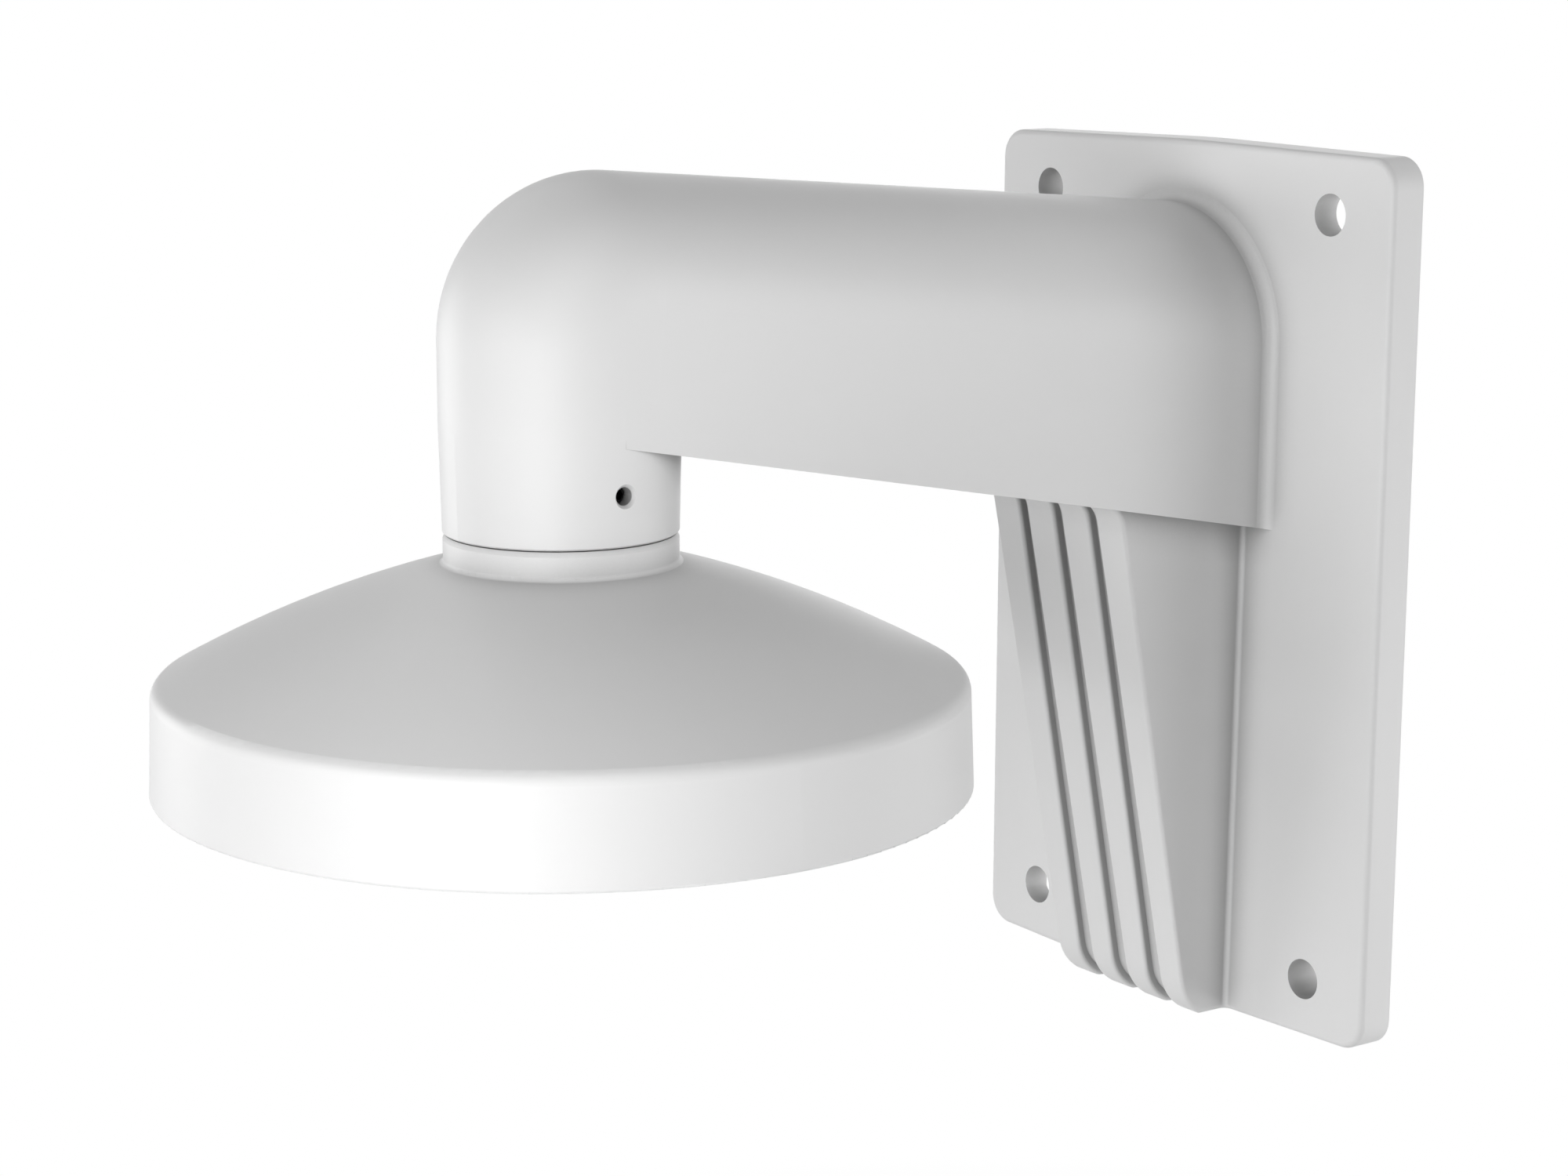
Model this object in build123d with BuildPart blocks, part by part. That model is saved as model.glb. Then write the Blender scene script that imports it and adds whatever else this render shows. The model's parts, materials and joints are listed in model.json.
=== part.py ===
import os
from math import atan
from math import cos
from math import degrees
from math import radians
from math import sin
from math import sqrt

from build123d import *

os.makedirs("parts", exist_ok=True)

# Frame: origin on the wall at the middle of the plate, X across, arm towards -Y, Z up.

# Wall plate
plate_w = 120.0
plate_h = 183.6
plate_edge_t = 8.0
plate_crown = 1.0
plate_corner_r = 6.0
plate_crest_r = 300.0
plate_front_r = 1.2
recess_depth = 2.4
recess_rim = 5.0
recess_side_rim = 10.4
recess_corner_r = 3.0
pad_r = 8.0

# Four fixing holes, set in from the sides and the ends of the plate
hole_side_gap = 17.0
hole_end_gap = 12.8
hole_d = 8.5

# Arm, heights at the wall and slopes outwards
reach = 161.2
arm_half_w = 28.0
arm_crest_z = 78.15
arm_crest_slope = 0.0866
arm_floor_z = 12.05
arm_floor_slope = 0.1922
arm_foot_r = 2.5
arm_root = 2.0
back_cut = 1.0

# Elbow
elbow_r = 22.6
elbow_mouth_r = 22.15
elbow_taper_h = 20.0
elbow_bend_r = 8.0
elbow_end_z = 24.95
elbow_lip = 0.3

# Walls of the casting and its bores
wall_t = 3.5
thread_r = 16.6
thread_h = 21.0

# Gusset under the arm, widths at mid height of the plate and changes per mm of height
gusset_half_w = 21.35
gusset_flank_slope = 0.0089
gusset_draft = 0.9
gusset_front_y = 37.75
gusset_front_slope = 0.198
gusset_toe_r = 11.5
gusset_toe_drop = 1.0
gusset_flare_r = 6.0
gusset_foot_r = 1.1
gusset_sink = 1.5
strip_pitch = 11.1
strip_edge_r = 0.8
groove_w = 1.45
groove_slope = 0.0127
groove_depth = 2.0
groove_lift = 1.0
pocket_half_w = 16.0
pocket_wall_t = 3.5

# Mounting cap
cap_r = 77.5
cap_shoulder_r = 76.7
cap_shoulder_z = -3.0
cap_rim_z = -23.1
cap_dome_sag = 1.85
cap_edge_r = 3.0
cap_lip_r = 0.5
cap_wall_t = 3.0
cap_root_rise = 1.5
neck_r = 22.1
neck_foot_z = 19.4
neck_foot_r = 1.0
neck_chamfer_r = 0.45
neck_chamfer_h = 0.9
joint_gap = 0.25
joint_seat_r = 20.0
spigot_clearance = 0.1
spigot_bore_r = 13.0
spigot_h = 18.0
spigot_lead = 1.0
boss_circle_r = 55.0
boss_r = 4.5
boss_hole_d = 3.3
boss_end_z = -8.0
boss_hole_depth = 10.0

# Tapped side hole of the set screw
screw_z = 34.3
screw_hole_d = 3.4
screw_mouth_d = 5.0
screw_mouth_h = 0.5

# Slack and margin of the tests that pick edges to round
edge_slack = 0.1
edge_margin = 1.0


# Side view lines: height of the crest and of the floor at a distance out from the wall
def crest_at(out):
    return arm_crest_z + arm_crest_slope * out


def floor_at(out):
    return arm_floor_z + arm_floor_slope * out


# Front line of the gusset, or of a line set in behind it
def front_at(z, inset=0.0):
    return inset - gusset_front_y - gusset_front_slope * z


# Half width of the gusset, less towards the toe
def gusset_half_at(z):
    return gusset_half_w + gusset_flank_slope * z


# Half width of a groove, more towards the toe
def groove_half_at(z):
    return groove_w / 2 - groove_slope * z


# Height where the front line meets the floor of the arm
def heel_z(inset=0.0, lift=0.0):
    rise = arm_floor_z + lift + arm_floor_slope * (gusset_front_y - inset)
    return rise / (1 - arm_floor_slope * gusset_front_slope)


# Places worked out from the driving sizes
top_half = plate_h / 2
hole_dx = plate_w - 2 * hole_side_gap
hole_dz = plate_h - 2 * hole_end_gap
crest_angle = degrees(atan(arm_crest_slope))
up_y = sin(radians(crest_angle))
up_z = cos(radians(crest_angle))
bend_y = elbow_bend_r - reach
bend_z = crest_at(-bend_y) - (elbow_bend_r + elbow_r) / up_z
floor_drop = (bend_z - floor_at(-bend_y)) / (up_z + arm_floor_slope * up_y)
floor_t = wall_t * sqrt(1 + arm_floor_slope**2)
toe_y = front_at(-top_half)
stock = plate_w / 2
stock_top = floor_at(stock) + gusset_sink
stock_foot = -top_half - gusset_toe_drop - gusset_sink
pocket_inset = groove_depth + pocket_wall_t
pocket_toe_z = recess_rim + plate_crown - top_half
pocket_heel = heel_z(pocket_inset)
spigot_r = thread_r - spigot_clearance
spigot_end_z = elbow_end_z + spigot_h
neck_top_z = elbow_end_z - joint_gap
neck_root_z = neck_foot_z - cap_wall_t + cap_root_rise
skirt_inner_r = cap_r - cap_wall_t
shoulder_inner_r = cap_shoulder_r - cap_wall_t
bend_plane = Plane(origin=(0, bend_y, bend_z), x_dir=(1, 0, 0), z_dir=(0, -up_z, up_y))
bend_axis = Axis((0, bend_y, bend_z), (-1, 0, 0))
upright_axis = Axis((0, -reach, 0), (0, 0, 1))
screw_axis = Axis((0, -reach, screw_z), (1, 0, 0))


# Upright band between two lines that lean the same way from the middle
def band_points(half_at):
    top, foot = half_at(stock_top), half_at(stock_foot)
    return [(-top, stock_top), (top, stock_top), (foot, stock_foot), (-foot, stock_foot)]


# Side of the gusset: round toe, sloping front and a flare into the floor of the arm
def gusset_side(inset=0.0, lift=0.0):
    foot = inset - top_half - gusset_toe_drop
    heel = heel_z(inset, lift)
    FilletPolyline(
        (-arm_root, foot),
        (front_at(foot, inset), foot),
        (front_at(heel, inset), heel),
        (-stock, floor_at(stock) + lift),
        radius=(gusset_toe_r - inset, gusset_flare_r + inset),
    )
    Polyline(
        (-stock, floor_at(stock) + lift),
        (-stock, stock_top),
        (-arm_root, floor_at(arm_root) + gusset_sink),
        (-arm_root, foot),
    )


# Arched section: flat floor, upright sides, half round top
def arch(half_w, centre, floor):
    Line((-half_w, floor), (half_w, floor))
    Line((half_w, floor), (half_w, centre))
    ThreePointArc((half_w, centre), (0, centre + half_w), (-half_w, centre))
    Line((-half_w, centre), (-half_w, floor))


# Plan of the bend: half round nose with straight cheeks back to the bend axis
def nose(radius):
    Line((-radius, bend_y), (-radius, -reach))
    ThreePointArc((-radius, -reach), (0, -reach - radius), (radius, -reach))
    Line((radius, -reach), (radius, bend_y))
    Line((radius, bend_y), (-radius, bend_y))


# Edges to round, told apart by where their middle lies
def on_plate_front(edge):
    out = -edge.center().Y
    return plate_edge_t - edge_slack < out < plate_edge_t + plate_crown + edge_slack


def is_strip_edge(edge):
    middle = edge.position_at(0.5)
    long = edge.length > top_half / 2
    return abs(middle.Y - front_at(middle.Z)) < edge_slack / 2 and long


def is_plate_rim(edge):
    middle = edge.center()
    outer = abs(middle.X) > hole_dx / 2 + hole_d or abs(middle.Z) > hole_dz / 2 + hole_d
    beside = middle.Z > 0 or abs(middle.X) > gusset_half_w + 2 * edge_margin
    return on_plate_front(edge) and outer and beside


def is_arm_foot(edge):
    middle = edge.center()
    under_arch = abs(middle.X) < arm_half_w + edge_margin and middle.Z > arm_floor_z + wall_t
    return on_plate_front(edge) and under_arch


def is_gusset_foot(edge):
    middle = edge.center()
    low = gusset_toe_r - top_half < middle.Z < 0
    return on_plate_front(edge) and abs(middle.X) < gusset_half_w + edge_margin and low


with BuildPart() as wall_bracket:
    # Gusset core, narrower towards the toe, cut back to the floor of the grooves
    with BuildSketch(Plane.XZ.offset(arm_root)):
        Polygon(*band_points(gusset_half_at), align=None)
    extrude(amount=stock, taper=gusset_draft)
    with BuildSketch(Plane.YZ):
        with BuildLine():
            gusset_side(groove_depth, groove_lift)
        make_face()
    extrude(amount=stock, both=True, mode=Mode.INTERSECT)

    # Four strips on the core, with grooves that widen towards the toe
    with BuildSketch(Plane.XZ.offset(arm_root)):
        Polygon(*band_points(gusset_half_at), align=None)
        with Locations((-strip_pitch, 0), (0, 0), (strip_pitch, 0)):
            Polygon(*band_points(groove_half_at), align=None, mode=Mode.SUBTRACT)
    extrude(amount=stock, taper=gusset_draft)
    with BuildSketch(Plane.YZ):
        with BuildLine():
            gusset_side()
        make_face()
    extrude(amount=stock, both=True, mode=Mode.INTERSECT)

    # Wall plate with a low crest down the middle
    with BuildSketch(Plane.XY.offset(-top_half)):
        with BuildLine():
            Polyline(
                (-plate_w / 2, 0),
                (-plate_w / 2, -plate_edge_t),
                (0, -plate_edge_t - plate_crown),
                (plate_w / 2, -plate_edge_t),
                (plate_w / 2, 0),
                close=True,
            )
        make_face()
        fillet(vertices().sort_by(Axis.Y)[0], radius=plate_crest_r)
    extrude(amount=plate_h)

    # Plate outline: ends rise to the middle, round corners
    with BuildSketch(Plane.XZ):
        with BuildLine():
            Polyline(
                (-plate_w / 2, plate_crown - top_half),
                (0, -top_half),
                (plate_w / 2, plate_crown - top_half),
                (plate_w / 2, top_half - plate_crown),
                (0, top_half),
                (-plate_w / 2, top_half - plate_crown),
                close=True,
            )
        make_face()
        ends = vertices().sort_by(lambda v: abs(v.X))
        fillet(ends[:2], radius=plate_crest_r)
        corners = vertices().filter_by(lambda v: abs(v.X) > plate_w / 2 - edge_slack)
        fillet(corners, radius=plate_corner_r)
    extrude(amount=stock, mode=Mode.INTERSECT)
    fillet(edges().filter_by(is_gusset_foot), radius=gusset_foot_r)
    fillet(edges().filter_by(is_plate_rim), radius=plate_front_r)
    fillet(edges().filter_by(is_strip_edge), radius=strip_edge_r)

    # Sloping arm with an arched section
    with BuildSketch(Plane.XZ.offset(arm_root)):
        with BuildLine():
            arch(arm_half_w, crest_at(arm_root) - arm_half_w, floor_at(arm_root))
        make_face()
    with BuildSketch(bend_plane):
        with BuildLine():
            arch(elbow_r, elbow_bend_r, -floor_drop)
        make_face()
    loft(ruled=True)

    # Elbow: quarter wheel, cheeks under it and the round upright
    with BuildSketch(Plane.XY.offset(bend_z)):
        with BuildLine():
            nose(elbow_r)
        make_face()
    revolve(axis=bend_axis, revolution_arc=90 + crest_angle)
    with BuildSketch(Plane.YZ):
        with BuildLine():
            Polyline(
                (-reach, bend_z),
                (bend_y, bend_z),
                (bend_y - floor_drop * up_y, bend_z - floor_drop * up_z),
                (-reach, floor_at(reach)),
                close=True,
            )
        make_face()
    extrude(amount=elbow_r, both=True)
    with BuildSketch(Plane.YZ):
        with BuildLine():
            Polyline(
                (-reach, elbow_end_z),
                (-reach, bend_z),
                (-reach - elbow_r, bend_z),
                (-reach - elbow_r, elbow_end_z + elbow_taper_h),
                (-reach - elbow_mouth_r, elbow_end_z + elbow_lip),
                (-reach - elbow_mouth_r + elbow_lip, elbow_end_z),
                close=True,
            )
        make_face()
    revolve(axis=upright_axis)

    fillet(edges().filter_by(is_arm_foot), radius=arm_foot_r)

    # Cable way: neck bore, elbow and arm, open to the wall
    with BuildSketch(Plane.XY.offset(elbow_end_z)):
        with Locations((0, -reach)):
            Circle(thread_r)
    extrude(amount=thread_h, mode=Mode.SUBTRACT)
    with BuildSketch(Plane.XY.offset(elbow_end_z + thread_h)):
        with Locations((0, -reach)):
            Circle(elbow_r - wall_t)
    extrude(amount=bend_z - elbow_end_z - thread_h, mode=Mode.SUBTRACT)
    with BuildSketch(Plane.XY.offset(bend_z)):
        with BuildLine():
            nose(elbow_r - wall_t)
        make_face()
    revolve(axis=bend_axis, revolution_arc=90 + crest_angle, mode=Mode.SUBTRACT)
    with BuildSketch(Plane.YZ):
        with BuildLine():
            Polyline(
                (-reach, bend_z),
                (bend_y, bend_z),
                (bend_y - (floor_drop - wall_t) * up_y, bend_z - (floor_drop - wall_t) * up_z),
                (-reach, floor_at(reach) + floor_t),
                close=True,
            )
        make_face()
    extrude(amount=elbow_r - wall_t, both=True, mode=Mode.SUBTRACT)
    with BuildSketch(Plane.XZ.offset(-back_cut)):
        with BuildLine():
            arch(arm_half_w - wall_t, crest_at(-back_cut) - arm_half_w, floor_at(-back_cut) + floor_t)
        make_face()
    with BuildSketch(bend_plane):
        with BuildLine():
            arch(elbow_r - wall_t, elbow_bend_r, wall_t - floor_drop)
        make_face()
    loft(ruled=True, mode=Mode.SUBTRACT)

    # Hollow back: shallow recess that leaves a rim and two hole pads, and the gusset pocket
    with BuildSketch(Plane.XZ):
        RectangleRounded(plate_w - 2 * recess_side_rim, -2 * pocket_toe_z, recess_corner_r)
        with Locations((-hole_dx / 2, hole_dz / 2), (hole_dx / 2, -hole_dz / 2)):
            Circle(pad_r, mode=Mode.SUBTRACT)
    extrude(amount=recess_depth, mode=Mode.SUBTRACT)
    with BuildSketch(Plane.YZ):
        with BuildLine():
            Polyline(
                (back_cut, pocket_toe_z),
                (front_at(pocket_toe_z, pocket_inset), pocket_toe_z),
                (front_at(pocket_heel, pocket_inset), pocket_heel),
                (back_cut, floor_at(-back_cut)),
                close=True,
            )
        make_face()
    extrude(amount=pocket_half_w, both=True, mode=Mode.SUBTRACT)

    # Four fixing holes
    with BuildSketch(Plane.XZ):
        with GridLocations(hole_dx, hole_dz, 2, 2):
            Circle(hole_d / 2)
    extrude(amount=plate_edge_t + plate_crown, mode=Mode.SUBTRACT)

    # Tapped side hole for the set screw, with a sunk mouth
    with BuildSketch(Plane.YZ):
        with Locations((-reach, screw_z)):
            Circle(screw_hole_d / 2)
    extrude(amount=stock, mode=Mode.SUBTRACT)
    with BuildSketch(Plane.XZ.offset(reach)):
        with BuildLine():
            Polyline(
                (elbow_mouth_r - screw_mouth_h, screw_z),
                (elbow_mouth_r - screw_mouth_h, screw_z + screw_hole_d / 2),
                (elbow_r, screw_z + screw_mouth_d / 2),
                (elbow_r, screw_z),
                close=True,
            )
        make_face()
    revolve(axis=screw_axis, mode=Mode.SUBTRACT)

with BuildPart() as mounting_cap:
    # Turned shape: spigot, neck, domed top and drafted skirt
    with BuildSketch(Plane.XZ.offset(reach)):
        with BuildLine():
            Polyline(
                (neck_r, neck_foot_z),
                (neck_r, neck_top_z - neck_chamfer_h),
                (neck_r - neck_chamfer_r, neck_top_z),
                (joint_seat_r, neck_top_z),
                (joint_seat_r, elbow_end_z),
                (spigot_r, elbow_end_z),
                (spigot_r, spigot_end_z),
                (spigot_bore_r, spigot_end_z),
                (spigot_bore_r, neck_root_z),
            )
            SagittaArc(
                (spigot_bore_r, neck_root_z),
                (shoulder_inner_r, cap_shoulder_z - cap_wall_t),
                cap_dome_sag,
            )
            Polyline(
                (shoulder_inner_r, cap_shoulder_z - cap_wall_t),
                (skirt_inner_r, cap_rim_z),
                (cap_r, cap_rim_z),
                (cap_shoulder_r, cap_shoulder_z),
            )
            SagittaArc((cap_shoulder_r, cap_shoulder_z), (neck_r, neck_foot_z), -cap_dome_sag)
        make_face()
        fillet(vertices().sort_by_distance((cap_shoulder_r, cap_shoulder_z))[0], radius=cap_edge_r)
        fillet(vertices().sort_by_distance((neck_r, neck_foot_z))[0], radius=neck_foot_r)
        fillet(vertices().sort_by_distance((cap_r, cap_rim_z))[0], radius=cap_lip_r)
        chamfer(vertices().sort_by_distance((spigot_r, spigot_end_z))[0], length=spigot_lead)
    revolve(axis=upright_axis)

    # Three tapped bosses under the dome for the camera base
    with BuildSketch(Plane.XY.offset(boss_end_z)):
        with Locations((0, -reach)):
            with PolarLocations(boss_circle_r, 3, start_angle=90):
                Circle(boss_r)
    extrude(until=Until.NEXT)
    with BuildSketch(Plane.XY.offset(boss_end_z)):
        with Locations((0, -reach)):
            with PolarLocations(boss_circle_r, 3, start_angle=90):
                Circle(boss_hole_d / 2)
    extrude(amount=boss_hole_depth, mode=Mode.SUBTRACT)

wall_bracket.part.label = "wall_bracket"
mounting_cap.part.label = "mounting_cap"
export_step(wall_bracket.part, "parts/wall_bracket.step")
export_step(mounting_cap.part, "parts/mounting_cap.step")
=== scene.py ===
"""Looks, camera and light for a die-cast camera wall bracket with its screwed-on cap."""

import json
import logging
import math
from dataclasses import dataclass
from enum import Enum

import bmesh
import bpy
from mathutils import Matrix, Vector

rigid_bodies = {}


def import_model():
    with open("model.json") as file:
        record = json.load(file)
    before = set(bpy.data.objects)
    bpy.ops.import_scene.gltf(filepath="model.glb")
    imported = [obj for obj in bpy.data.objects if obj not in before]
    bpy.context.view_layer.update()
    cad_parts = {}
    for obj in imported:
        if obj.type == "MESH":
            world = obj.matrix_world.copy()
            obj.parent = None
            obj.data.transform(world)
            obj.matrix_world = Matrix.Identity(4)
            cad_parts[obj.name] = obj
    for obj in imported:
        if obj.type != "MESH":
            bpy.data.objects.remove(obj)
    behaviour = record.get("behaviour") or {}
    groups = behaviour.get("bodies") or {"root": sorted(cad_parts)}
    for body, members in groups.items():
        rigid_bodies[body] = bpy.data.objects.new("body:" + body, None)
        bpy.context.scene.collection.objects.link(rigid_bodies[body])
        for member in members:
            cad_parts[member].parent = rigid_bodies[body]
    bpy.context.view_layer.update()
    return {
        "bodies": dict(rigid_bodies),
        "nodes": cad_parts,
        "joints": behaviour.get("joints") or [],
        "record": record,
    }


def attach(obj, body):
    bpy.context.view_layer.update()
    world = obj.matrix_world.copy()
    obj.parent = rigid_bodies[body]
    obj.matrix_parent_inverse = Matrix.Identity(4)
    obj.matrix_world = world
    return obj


MM = 0.001
ROOT = "root"
WHITE = (1.0, 1.0, 1.0, 1.0)

# What the lamps point at, in metres
ARM_MIDDLE = (0.0, -0.09, 0.0)
CAP_AXIS = (0.0, -0.161, 0.0)

# Sockets of a Mix node set to colours, which share their names with its other sockets
MIX_FACTOR, MIX_FIRST, MIX_SECOND, MIX_RESULT = 0, 6, 7, 2

log = logging.getLogger("wall_bracket")


def linear(code: str) -> tuple[float, float, float, float]:
    """Turns an sRGB hex colour into the linear colour that a shader takes.

    Args:
        code: Six hex digits, such as "f0f0ee".

    Returns:
        Red, green, blue and alpha, each 0 to 1.
    """
    parts = [int(code[i : i + 2], 16) / 255 for i in (0, 2, 4)]
    return (*[p / 12.92 if p <= 0.04045 else ((p + 0.055) / 1.055) ** 2.4 for p in parts], 1.0)


def add_node(tree: bpy.types.NodeTree, kind: str, settings: dict, links: dict) -> bpy.types.Node:
    """Adds one node, with its settings, socket values and incoming links.

    Args:
        tree: The node tree that gets the node.
        kind: Blender's name of the node type.
        settings: Attributes of the node by name, or values of its inputs by name or number.
        links: Output sockets to link in, by input name or number.

    Returns:
        The new node.
    """
    node = tree.nodes.new(kind)
    for key, value in settings.items():
        if isinstance(key, str) and hasattr(node, key):
            setattr(node, key, value)
        else:
            node.inputs[key].default_value = value
    for key, socket in links.items():
        tree.links.new(socket, node.inputs[key])
    return node


def new_material(name: str) -> tuple[bpy.types.Material, bpy.types.NodeTree]:
    """Makes an empty node material.

    Args:
        name: The material's name.

    Returns:
        The material and its node tree.
    """
    material = bpy.data.materials.new(name)
    material.use_nodes = True
    material.node_tree.nodes.clear()
    return material, material.node_tree


@dataclass(frozen=True)
class PowderCoat:
    """White polyester powder coat, baked on die-cast aluminium.

    The powder melts into a satin skin with a faint orange peel, so broad faces look even
    and soft, and only rounded edges and grazing views catch a sheen. Grooves, joints and
    bores are painted greyer where shade falls in them: this is painted shade, not a colour of the
    coat.
    """

    name: str
    colour: str
    shade: str
    # Satin polyester resin: it glints softly and nowhere mirrors
    roughness: float = 0.46
    roughness_drift: float = 0.04
    ior: float = 1.5
    # Orange peel of a baked coat, a few thousandths of a millimetre high
    peel_mm: float = 1.1
    peel_height_mm: float = 0.006
    # Powder grains are finer, and are drawn at this size so that they show
    grit_mm: float = 0.28
    grit_height_mm: float = 0.0022
    # Slow change of tone over a face
    drift_mm: float = 38.0
    # Painted shade in tight corners: from where it starts to where it is full, as the share of
    # open air
    painted_corner_shade: str = "9a9a9a"
    painted_shade_reach_mm: float = 9.0
    painted_shade_from: float = 0.92
    painted_shade_full: float = 0.4
    painted_shade_rays: int = 8

    def make(self) -> bpy.types.Material:
        """Builds the material: tone drift, painted shade in corners, orange peel and the finest
        grit.

        Returns:
            The finished material.
        """
        material, tree = new_material(self.name)
        place = add_node(tree, "ShaderNodeTexCoord", {}, {}).outputs["Object"]
        drift = add_node(
            tree,
            "ShaderNodeTexNoise",
            {"Scale": 1 / (self.drift_mm * MM), "Detail": 3.0, "Roughness": 0.5},
            {"Vector": place},
        )
        tone = add_node(
            tree,
            "ShaderNodeMix",
            {
                "data_type": "RGBA",
                MIX_FIRST: linear(self.colour),
                MIX_SECOND: linear(self.shade),
            },
            {MIX_FACTOR: drift.outputs["Fac"]},
        )
        # Painted shade: ambient occlusion greys the colour in corners, grooves and bores where
        # shade falls
        open_air = add_node(
            tree,
            "ShaderNodeAmbientOcclusion",
            {"samples": self.painted_shade_rays, "Distance": self.painted_shade_reach_mm * MM},
            {},
        )
        painted_shade_share = add_node(
            tree,
            "ShaderNodeMapRange",
            {"From Min": self.painted_shade_from, "From Max": self.painted_shade_full},
            {"Value": open_air.outputs["AO"]},
        )
        # Mixes the painted corner shade into the coat colour
        coat = add_node(
            tree,
            "ShaderNodeMix",
            {"data_type": "RGBA", MIX_SECOND: linear(self.painted_corner_shade)},
            {MIX_FACTOR: painted_shade_share.outputs["Result"], MIX_FIRST: tone.outputs[MIX_RESULT]},
        )
        gloss = add_node(
            tree,
            "ShaderNodeMapRange",
            {
                "To Min": self.roughness - self.roughness_drift,
                "To Max": self.roughness + self.roughness_drift,
            },
            {"Value": drift.outputs["Fac"]},
        )
        peel = add_node(
            tree,
            "ShaderNodeTexNoise",
            {"Scale": 1 / (self.peel_mm * MM), "Detail": 1.0, "Roughness": 0.4},
            {"Vector": place},
        )
        grit = add_node(
            tree,
            "ShaderNodeTexNoise",
            {"Scale": 1 / (self.grit_mm * MM), "Detail": 2.0, "Roughness": 0.6},
            {"Vector": place},
        )
        wave = add_node(
            tree,
            "ShaderNodeBump",
            {"Strength": 1.0, "Distance": self.peel_height_mm * MM},
            {"Height": peel.outputs["Fac"]},
        )
        skin = add_node(
            tree,
            "ShaderNodeBump",
            {"Strength": 1.0, "Distance": self.grit_height_mm * MM},
            {"Height": grit.outputs["Fac"], "Normal": wave.outputs["Normal"]},
        )
        paint = add_node(
            tree,
            "ShaderNodeBsdfPrincipled",
            {"Metallic": 0.0, "IOR": self.ior},
            {
                "Base Color": coat.outputs[MIX_RESULT],
                "Roughness": gloss.outputs["Result"],
                "Normal": skin.outputs["Normal"],
            },
        )
        add_node(tree, "ShaderNodeOutputMaterial", {}, {"Surface": paint.outputs["BSDF"]})
        return material


@dataclass(frozen=True)
class BlackOxideSteel:
    """Hardened steel with a black oxide skin, as on small socket screws.

    It looks near black and slightly oily, with soft grey glints on its turned edges.
    """

    name: str
    colour: str = "2a2a2c"
    shade: str = "3a3a3b"
    # Oiled oxide skin: duller than bare steel, with the softened glint of a turned edge
    roughness: float = 0.38
    # Crystals of the oxide are finer, and are drawn at this size so that they show
    crystal_mm: float = 0.12
    crystal_height_mm: float = 0.01
    crystal_strength: float = 0.4

    def make(self) -> bpy.types.Material:
        """Builds the material: dark metal with fine mottling from the oxide bath.

        Returns:
            The finished material.
        """
        material, tree = new_material(self.name)
        place = add_node(tree, "ShaderNodeTexCoord", {}, {}).outputs["Object"]
        mottle = add_node(
            tree,
            "ShaderNodeTexNoise",
            {"Scale": 1 / (self.crystal_mm * MM), "Detail": 3.0},
            {"Vector": place},
        )
        tone = add_node(
            tree,
            "ShaderNodeMix",
            {
                "data_type": "RGBA",
                MIX_FIRST: linear(self.colour),
                MIX_SECOND: linear(self.shade),
            },
            {MIX_FACTOR: mottle.outputs["Fac"]},
        )
        bump = add_node(
            tree,
            "ShaderNodeBump",
            {"Strength": self.crystal_strength, "Distance": self.crystal_height_mm * MM},
            {"Height": mottle.outputs["Fac"]},
        )
        steel = add_node(
            tree,
            "ShaderNodeBsdfPrincipled",
            {"Metallic": 1.0, "Roughness": self.roughness},
            {"Base Color": tone.outputs[MIX_RESULT], "Normal": bump.outputs["Normal"]},
        )
        add_node(tree, "ShaderNodeOutputMaterial", {}, {"Surface": steel.outputs["BSDF"]})
        return material


@dataclass
class Casting:
    """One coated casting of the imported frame, which keeps its mesh and gets its finish."""

    node: str
    coat: PowderCoat

    def dress(self, frame: dict) -> bpy.types.Object:
        """Puts the coat into every material slot of the casting.


        Returns:
            The casting's object.
        """
        piece = frame["nodes"][self.node]
        material = self.coat.make()
        for slot in piece.material_slots:
            slot.material = material
        log.info("%s: %s", self.node, self.coat.name)
        return piece


class Drive(Enum):
    """How a screw is driven, with the number of sides of its socket."""

    HEX_SOCKET = 6


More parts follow.
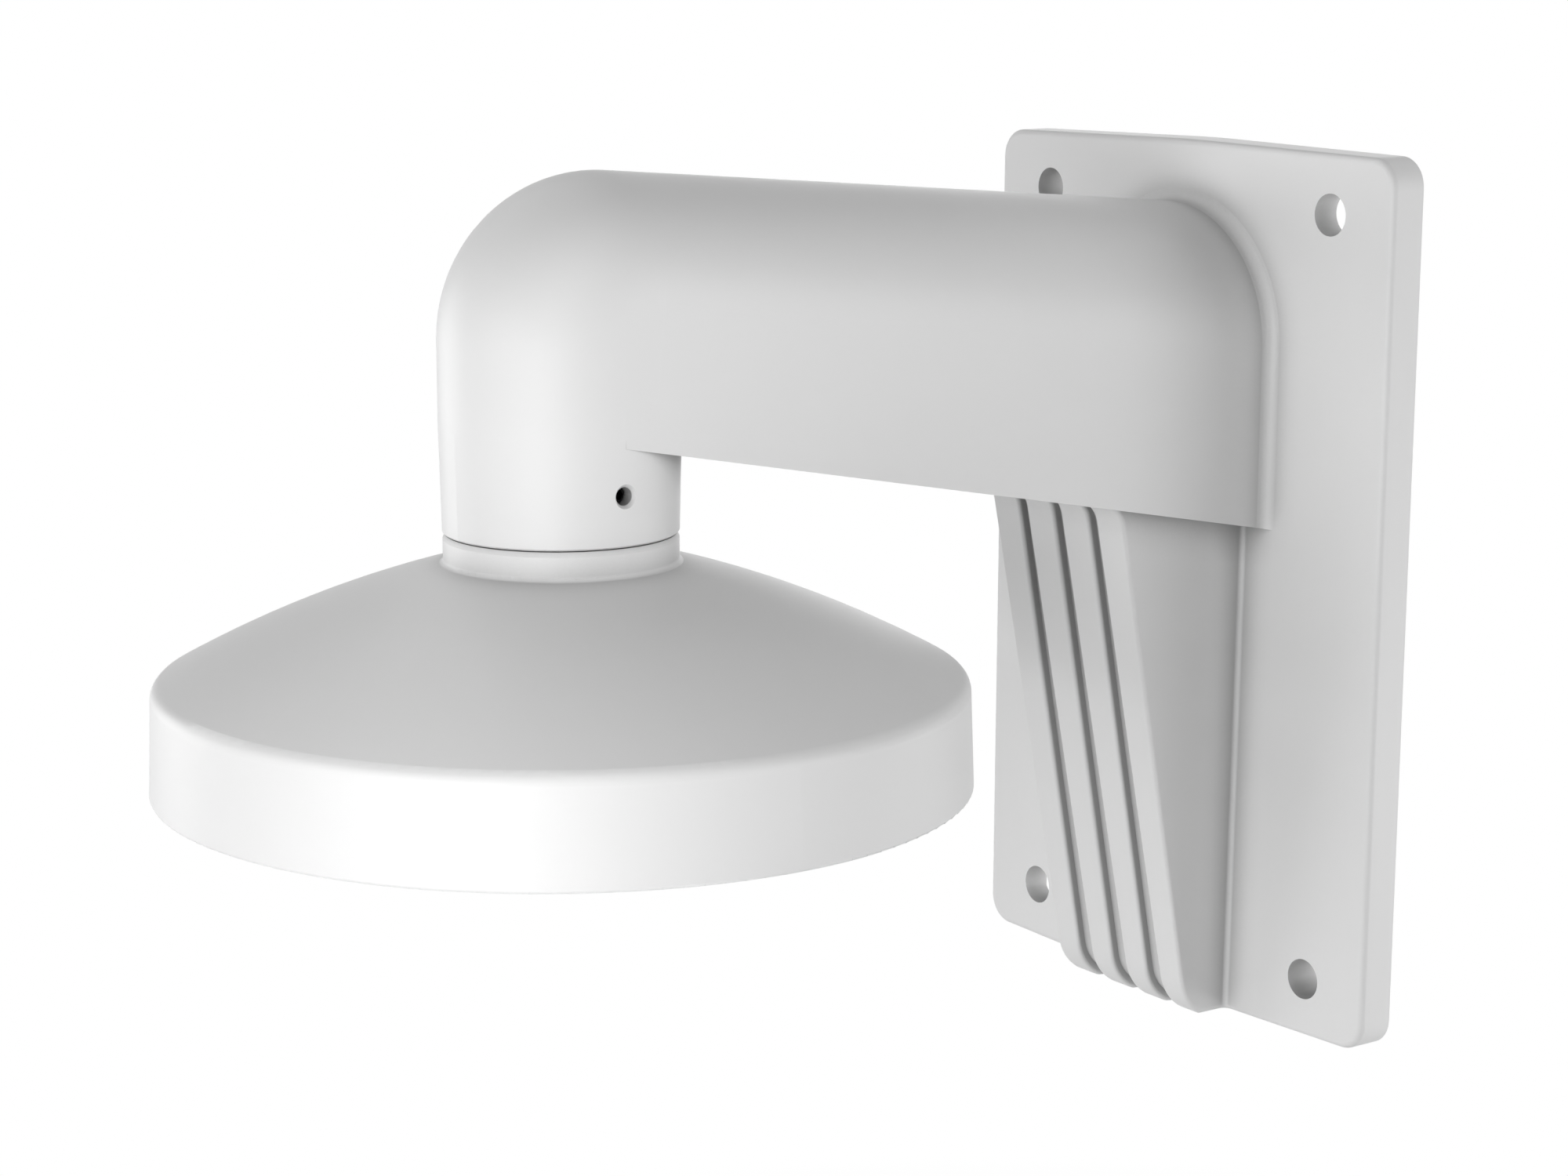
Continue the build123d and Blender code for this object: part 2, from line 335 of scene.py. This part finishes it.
@dataclass
class GrubScrew:
    """Set screw in the side hole of the elbow, which locks the neck of the cap.

    Sizes are in mm. Its thread stays inside the bore of the hole, which the CAD leaves plain.
    """

    node: str = "set_screw"
    tip: tuple[float, float, float] = (16.55, -161.2, 34.3)
    length: float = 3.0
    core_r: float = 1.42
    thread_r: float = 1.66
    pitch: float = 0.7
    bevel: float = 0.22
    cup_r: float = 0.85
    cup_depth: float = 0.45
    key_flats: float = 2.0
    key_depth: float = 1.4
    cup_floor_share: float = 0.2
    body_sides: int = 48
    bevel_steps: int = 2
    thread_steps: int = 32
    merge: float = 0.001
    smooth_degrees: float = 35.0
    square_on: float = 0.9
    drive: Drive = Drive.HEX_SOCKET
    finish: BlackOxideSteel = BlackOxideSteel("black_oxide_steel_screw")

    def place(self) -> Vector:
        """Returns the inner end of the screw in metres."""
        return Vector(self.tip) * MM

    def pick_end(self, mesh: bpy.types.Mesh, sign: int) -> None:
        """Selects the end face that looks along the screw's axis.

        Args:
            mesh: The mesh in edit mode.
            sign: 1 for the key end, -1 for the tip.
        """
        bpy.ops.mesh.select_all(action="DESELECT")
        shape = bmesh.from_edit_mesh(mesh)
        for face in shape.faces:
            face.select = face.normal.x * sign > self.square_on
        bmesh.update_edit_mesh(mesh)

    def turn_body(self) -> bpy.types.Object:
        """Turns the plain body with a bevelled key end and a cup point.

        Returns:
            The body, along X from the tip.
        """
        bpy.ops.object.select_all(action="DESELECT")
        bpy.ops.mesh.primitive_cylinder_add(
            vertices=self.body_sides,
            radius=self.core_r * MM,
            depth=self.length * MM,
            location=self.place() + Vector((self.length / 2 * MM, 0, 0)),
            rotation=(0, math.pi / 2, 0),
        )
        body = bpy.context.object
        bpy.ops.object.transform_apply(location=True, rotation=True, scale=True)
        bpy.ops.object.mode_set(mode="EDIT")
        bpy.ops.mesh.select_mode(type="FACE")
        self.pick_end(body.data, -1)
        bpy.ops.mesh.inset(thickness=(self.core_r - self.cup_r) * MM)
        bpy.ops.mesh.inset(thickness=self.cup_r * (1 - self.cup_floor_share) * MM)
        bpy.ops.transform.translate(value=(self.cup_depth * MM, 0, 0))
        self.pick_end(body.data, 1)
        bpy.ops.mesh.bevel(
            offset=self.bevel * MM,
            segments=self.bevel_steps,
            affect="EDGES",
        )
        bpy.ops.object.mode_set(mode="OBJECT")
        return body

    def cut_socket(self, body: bpy.types.Object) -> None:
        """Cuts the socket for the key into the outer end.

        Args:
            body: The turned body.
        """
        corner_r = self.key_flats / 2 / math.cos(math.pi / self.drive.value)
        bpy.ops.object.select_all(action="DESELECT")
        bpy.ops.mesh.primitive_cylinder_add(
            vertices=self.drive.value,
            radius=corner_r * MM,
            depth=2 * self.key_depth * MM,
            location=self.place() + Vector((self.length * MM, 0, 0)),
            rotation=(0, math.pi / 2, 0),
        )
        key = bpy.context.object
        bpy.ops.object.select_all(action="DESELECT")
        body.select_set(True)
        bpy.context.view_layer.objects.active = body
        cut = body.modifiers.new("socket", "BOOLEAN")
        cut.operation = "DIFFERENCE"
        cut.object = key
        bpy.ops.object.modifier_apply(modifier=cut.name)
        bpy.data.objects.remove(key)

    def wind_thread(self) -> bpy.types.Object:
        """Winds the thread: one three-sided ridge along the body.

        Returns:
            The closed ridge.
        """
        height = self.thread_r - self.core_r
        bpy.ops.object.select_all(action="DESELECT")
        bpy.ops.mesh.primitive_circle_add(vertices=3, radius=height * MM, location=self.place())
        ridge = bpy.context.object
        bpy.ops.object.mode_set(mode="EDIT")
        bpy.ops.mesh.select_all(action="SELECT")
        start = (self.cup_depth * MM, self.core_r * MM, 0)
        bpy.ops.transform.translate(value=start)
        bpy.ops.object.mode_set(mode="OBJECT")
        wind = ridge.modifiers.new("wind", "SCREW")
        wind.axis = "X"
        wind.screw_offset = self.pitch * MM
        wind.iterations = int((self.length - 2 * self.cup_depth) / self.pitch)
        wind.steps = wind.render_steps = self.thread_steps
        bpy.ops.object.modifier_apply(modifier=wind.name)
        bpy.ops.object.mode_set(mode="EDIT")
        bpy.ops.mesh.select_all(action="SELECT")
        bpy.ops.mesh.remove_doubles(threshold=self.merge * MM)
        bpy.ops.mesh.fill_holes(sides=3)
        bpy.ops.mesh.normals_make_consistent(inside=False)
        bpy.ops.object.mode_set(mode="OBJECT")
        bpy.ops.object.transform_apply(location=True, rotation=True, scale=True)
        return ridge

    def build(self) -> bpy.types.Object:
        """Models the screw, dresses it and lets it ride with the bracket.

        Returns:
            The finished screw.
        """
        body = self.turn_body()
        self.cut_socket(body)
        ridge = self.wind_thread()
        bpy.ops.object.select_all(action="DESELECT")
        ridge.select_set(True)
        body.select_set(True)
        bpy.context.view_layer.objects.active = body
        bpy.ops.object.join()
        bpy.ops.object.shade_smooth_by_angle(angle=math.radians(self.smooth_degrees))
        body.name = self.node
        body.data.materials.clear()
        body.data.materials.append(self.finish.make())
        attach(body, ROOT)
        log.info("%s: %d faces", self.node, len(body.data.polygons))
        return body


@dataclass
class PhotoCamera:
    """The camera that took the view, solved from the outlines of the bracket."""

    place: tuple[float, float, float] = (0.5329126, -0.4902218, 0.1372446)
    azimuth: float = 55.346
    elevation: float = 12.0187
    focal_px: float = 4344.48
    centre_px: tuple[float, float] = (937.203, 815.622)
    image_px: tuple[int, int] = (2000, 1500)
    sensor_mm: float = 36.0
    nearest: float = 0.01
    farthest: float = 20.0

    def build(self) -> None:
        """Adds the camera and makes it the scene's own."""
        data = bpy.data.cameras.new("photo_camera")
        wide, high = self.image_px
        data.sensor_width = self.sensor_mm
        data.lens = self.sensor_mm * self.focal_px / wide
        data.shift_x = (wide / 2 - self.centre_px[0]) / wide
        data.shift_y = (self.centre_px[1] - high / 2) / wide
        data.clip_start = self.nearest
        data.clip_end = self.farthest
        camera = bpy.data.objects.new("photo_camera", data)
        camera.location = self.place
        camera.rotation_euler = (math.radians(90 - self.elevation), 0, math.radians(self.azimuth))
        bpy.context.collection.objects.link(camera)
        bpy.context.scene.camera = camera
        log.info("photo_camera: %.1f mm lens", data.lens)


@dataclass
class Lamp:
    """One soft round lamp that points at the bracket and isn't seen itself.

    It stands away metres from its aim, azimuth degrees round from the front and elevation
    degrees up.
    """

    name: str
    azimuth: float
    elevation: float
    away: float
    size: float
    watts: float
    aim: tuple[float, float, float] = ARM_MIDDLE

    def build(self) -> None:
        """Adds the lamp, turned towards its aim."""
        data = bpy.data.lights.new(self.name, "AREA")
        data.shape = "DISK"
        data.size = self.size
        data.energy = self.watts
        side, up = math.radians(self.azimuth), math.radians(self.elevation)
        out = Vector((math.sin(side) * math.cos(up), -math.cos(side) * math.cos(up), math.sin(up)))
        lamp = bpy.data.objects.new(self.name, data)
        lamp.location = Vector(self.aim) + out * self.away
        lamp.rotation_euler = out.to_track_quat("Z", "Y").to_euler()
        lamp.visible_camera = False
        bpy.context.collection.objects.link(lamp)
        log.info("%s: %.2f W", self.name, self.watts)


@dataclass
class Studio:
    """Pale floor under the bracket, an even white surround and soft lamps.

    Lengths are in metres. The floor looks plain white from shadow_far outwards, and nearer in
    its own light shows through up to shadow_share, so that it holds the shadow.
    """

    floor_z: float = -0.36
    floor_half: float = 4.0
    floor_colour: str = "f2f2f2"
    shadow_share: float = 0.3
    shadow_near: float = 0.15
    shadow_far: float = 0.6
    fill_level: float = 0.05
    lamps: tuple[Lamp, ...] = (
        Lamp("side_lamp", 125, 5, away=1.4, size=0.8, watts=4.7),
        Lamp("front_lamp", 5, 5, away=1.4, size=0.8, watts=4.7),
        Lamp("left_lamp", 300, 0, away=0.7, size=0.4, watts=1.25),
        Lamp("near_low_lamp", 40, -15, away=0.4, size=0.3, watts=0.68, aim=CAP_AXIS),
        Lamp("near_level_lamp", 40, 5, away=0.3, size=0.2, watts=0.14, aim=CAP_AXIS),
        Lamp("near_high_lamp", 60, 40, away=0.3, size=0.2, watts=0.12, aim=CAP_AXIS),
        Lamp("rear_low_lamp", 160, -15, away=0.4, size=0.3, watts=0.36, aim=CAP_AXIS),
        Lamp("rear_high_lamp", 160, 35, away=0.4, size=0.3, watts=0.2, aim=CAP_AXIS),
        Lamp("overhead_lamp", 270, 60, away=0.4, size=0.3, watts=0.26, aim=CAP_AXIS),
        Lamp("back_lamp", 225, 5, away=1.4, size=0.8, watts=2.0),
    )

    def seen_rays(self, tree: bpy.types.NodeTree) -> bpy.types.NodeSocket:
        """Tells the rays that show the surround from those that light the bracket.

        Args:
            tree: The node tree of the floor or the world.

        Returns:
            1 for camera, glossy and transmission rays, otherwise 0.
        """
        rays = add_node(tree, "ShaderNodeLightPath", {}, {})
        straight = add_node(
            tree,
            "ShaderNodeMath",
            {"operation": "MAXIMUM"},
            {0: rays.outputs["Is Camera Ray"], 1: rays.outputs["Is Glossy Ray"]},
        )
        seen = add_node(
            tree,
            "ShaderNodeMath",
            {"operation": "MAXIMUM"},
            {0: straight.outputs[0], 1: rays.outputs["Is Transmission Ray"]},
        )
        return seen.outputs[0]

    def surround(self) -> None:
        """Sets a world that looks plain white and lights the bracket with a weak even fill."""
        world = bpy.data.worlds.new("studio_surround")
        world.use_nodes = True
        tree = world.node_tree
        tree.nodes.clear()
        bpy.context.scene.world = world
        fill = add_node(
            tree,
            "ShaderNodeBackground",
            {"Color": WHITE, "Strength": self.fill_level},
            {},
        )
        white = add_node(tree, "ShaderNodeBackground", {"Color": WHITE, "Strength": 1.0}, {})
        pick = add_node(
            tree,
            "ShaderNodeMixShader",
            {},
            {0: self.seen_rays(tree), 1: fill.outputs[0], 2: white.outputs[0]},
        )
        add_node(tree, "ShaderNodeOutputWorld", {}, {"Surface": pick.outputs[0]})

    def floor(self) -> None:
        """Adds the floor of matt paper, white to the eye, that holds the soft shadow."""
        bpy.ops.object.select_all(action="DESELECT")
        bpy.ops.mesh.primitive_plane_add(size=2 * self.floor_half, location=(0, 0, self.floor_z))
        plane = bpy.context.object
        plane.name = "studio_floor"
        material, tree = new_material("floor_paper_matt")
        paper = add_node(tree, "ShaderNodeBsdfDiffuse", {"Color": linear(self.floor_colour)}, {})
        glow = add_node(tree, "ShaderNodeEmission", {"Color": WHITE, "Strength": 1.0}, {})
        place = add_node(tree, "ShaderNodeTexCoord", {}, {}).outputs["Object"]
        out = add_node(tree, "ShaderNodeVectorMath", {"operation": "LENGTH"}, {"Vector": place})
        fade = add_node(
            tree,
            "ShaderNodeMapRange",
            {
                "From Min": self.shadow_near,
                "From Max": self.shadow_far,
                "To Min": 1 - self.shadow_share,
                "To Max": 1.0,
            },
            {"Value": out.outputs["Value"]},
        )
        share = add_node(
            tree,
            "ShaderNodeMath",
            {"operation": "MULTIPLY"},
            {0: self.seen_rays(tree), 1: fade.outputs["Result"]},
        )
        blend = add_node(
            tree,
            "ShaderNodeMixShader",
            {},
            {0: share.outputs[0], 1: paper.outputs[0], 2: glow.outputs[0]},
        )
        add_node(tree, "ShaderNodeOutputMaterial", {}, {"Surface": blend.outputs[0]})
        plane.data.materials.append(material)

    def build(self) -> None:
        """Sets up the surround, the floor and the lamps, at a plain view transform."""
        bpy.context.scene.view_settings.view_transform = "Standard"
        self.surround()
        self.floor()
        for lamp in self.lamps:
            lamp.build()
        log.info("studio: %d lamps", len(self.lamps))


def main() -> None:
    """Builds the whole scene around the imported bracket."""
    logging.basicConfig(level=logging.INFO, format="%(name)s %(message)s")
    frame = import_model()
    bracket_coat = PowderCoat("powder_coated_die_cast_aluminium", "e7e7e7", "e4e4e4")
    cap_coat = PowderCoat("powder_coated_cast_cap", "e8e8e8", "e5e5e5")
    Casting("wall_bracket", bracket_coat).dress(frame)
    Casting("mounting_cap", cap_coat).dress(frame)
    GrubScrew().build()
    PhotoCamera().build()
    Studio().build()


if __name__ == "__main__":
    main()
